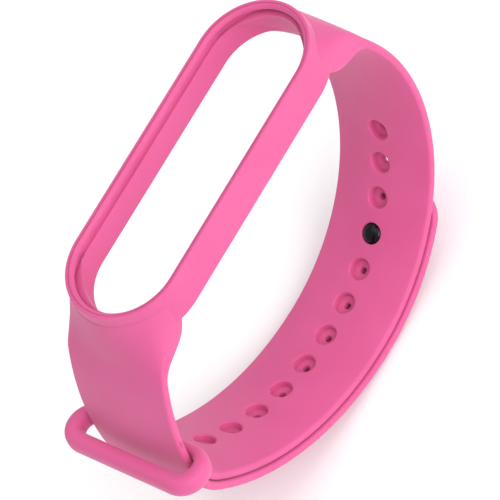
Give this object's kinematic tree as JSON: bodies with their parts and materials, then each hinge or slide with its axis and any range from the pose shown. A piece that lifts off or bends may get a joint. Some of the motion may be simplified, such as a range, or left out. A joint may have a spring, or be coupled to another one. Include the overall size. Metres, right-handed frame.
{
  "type": "fitness tracker band",
  "caption": "Closed silicone wrist band with a pill-shaped open frame for a tracker capsule, a row of stud holes, a keeper loop and a dark metal stud clasp.",
  "frame": {"origin": "middle of the flat rim at the top of the capsule frame", "axes": "+X across the strap, +Y along the frame away from the keeper, +Z out of the frame away from the wrist"},
  "size_m": [0.0284, 0.0773, 0.0588],
  "materials": {
    "silicone": "matte moulded silicone, pink",
    "clasp_metal": "polished black plating"
  },
  "bodies": {
    "frame": {"capsule_frame": "silicone"},
    "back_root": {"back_strap_root": "silicone"},
    "front_root": {"front_strap_root": "silicone"},
    "cuff": {"hole_strap": "silicone", "front_strap": "silicone"},
    "keeper": {"keeper_loop": "silicone"},
    "tail": {"tail_end": "silicone", "clasp_stud": "clasp_metal", "clasp_cap": "clasp_metal"}
  },
  "joints": [
    {"name": "back_lug_flex", "type": "hinge", "parent": "frame", "child": "back_root", "pos_m": [0, 0.03125, -0.012], "axis": [1, 0, 0], "range_deg": [-8, 8], "stiffness_Nm_per_rad": 0.5},
    {"name": "back_side_flex", "type": "hinge", "parent": "back_root", "child": "cuff", "pos_m": [0, 0.03253, -0.029], "axis": [1, 0, 0], "range_deg": [-7, 7], "stiffness_Nm_per_rad": 0.05},
    {"name": "front_lug_flex", "type": "hinge", "parent": "frame", "child": "front_root", "pos_m": [0, -0.03145, -0.012], "axis": [1, 0, 0], "range_deg": [-12.3, 12.3], "stiffness_Nm_per_rad": 0.002},
    {"name": "tail_peel", "type": "hinge", "parent": "cuff", "child": "tail", "pos_m": [0, 0.00378, -0.05725], "axis": [-1, 0, 0], "range_deg": [0, 40], "stiffness_Nm_per_rad": 0.05},
    {"name": "keeper_tilt", "type": "hinge", "parent": "cuff", "child": "keeper", "pos_m": [0, -0.03609, -0.02751], "axis": [1, 0, 0], "range_deg": [-5, 5], "stiffness_Nm_per_rad": 0.05}
  ],
  "couplings": [
    {"joint": "back_side_flex", "follows": "back_lug_flex", "ratio": -0.8728},
    {"joint": "front_lug_flex", "follows": "back_lug_flex", "ratio": 1.5252}
  ]
}
